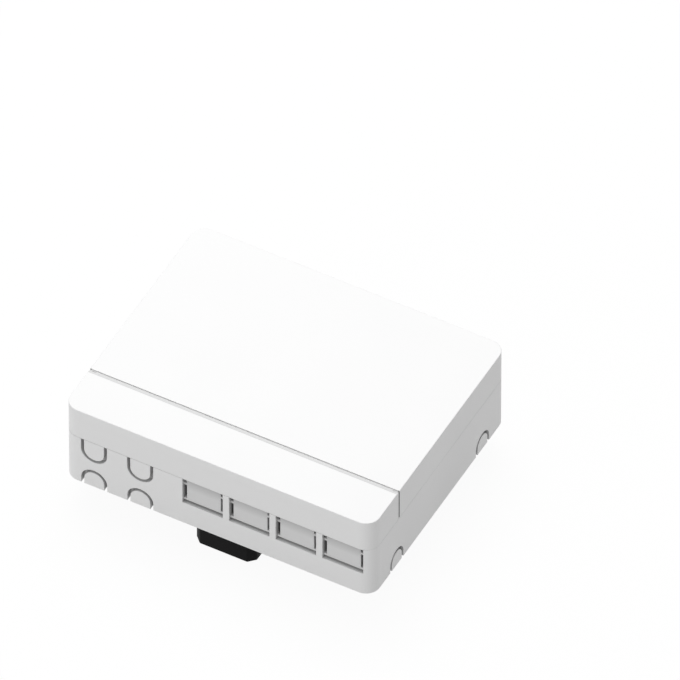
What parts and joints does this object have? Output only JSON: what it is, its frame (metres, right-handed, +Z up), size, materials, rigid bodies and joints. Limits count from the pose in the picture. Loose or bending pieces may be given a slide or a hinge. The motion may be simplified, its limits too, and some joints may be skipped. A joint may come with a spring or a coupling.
{
  "type": "fibre optic box",
  "caption": "Low white fibre optic box with break-out adapter ports and cable knock-outs in front, a lid hinged at the back, a splice tray, and a clip-on rail bracket on black feet.",
  "frame": {"origin": "on the surface that the two feet stand on, under the middle of the case", "axes": "+Z up through the lid, -Y is the front with the ports, +X to the right when facing the front"},
  "size_m": [0.0996, 0.08, 0.0392],
  "materials": {
    "white_abs": "satin moulded plastic",
    "black_nylon": "satin moulded nylon",
    "green_plastic": "satin moulded plastic",
    "grey_plug": "soft matt plug",
    "black_foam": "closed-cell foam strip",
    "ceramic": "polished ceramic",
    "zinc_steel": "bright zinc plate"
  },
  "bodies": {
    "case": {"base": "white_abs", "front_cap": "white_abs", "bracket": "white_abs", "splice_holder": "white_abs", "cable_clamp": "white_abs", "clamp_screw_left": "zinc_steel", "clamp_screw_right": "zinc_steel", "sc_adapter_1": "green_plastic", "sc_adapter_2": "green_plastic", "sc_adapter_3": "green_plastic", "sc_adapter_4": "green_plastic", "alignment_sleeve_1": "ceramic", "alignment_sleeve_2": "ceramic", "alignment_sleeve_3": "ceramic", "alignment_sleeve_4": "ceramic", "dust_plug_1": "grey_plug", "dust_plug_2": "grey_plug", "dust_plug_3": "grey_plug", "dust_plug_4": "grey_plug", "dust_seal_1": "black_foam", "dust_seal_2": "black_foam", "dust_seal_3": "black_foam", "dust_seal_4": "black_foam", "din_foot_front": "black_nylon", "din_foot_back": "black_nylon", "foot_screw_front": "zinc_steel", "foot_screw_back": "zinc_steel", "foot_nut_front": "zinc_steel", "foot_nut_back": "zinc_steel"},
    "lid": {"lid": "white_abs"}
  },
  "joints": [
    {"name": "lid_hinge", "type": "hinge", "parent": "case", "child": "lid", "pos_m": [0, 0.04, 0.0282], "axis": [-1, 0, 0], "range_deg": [0, 110]}
  ]
}
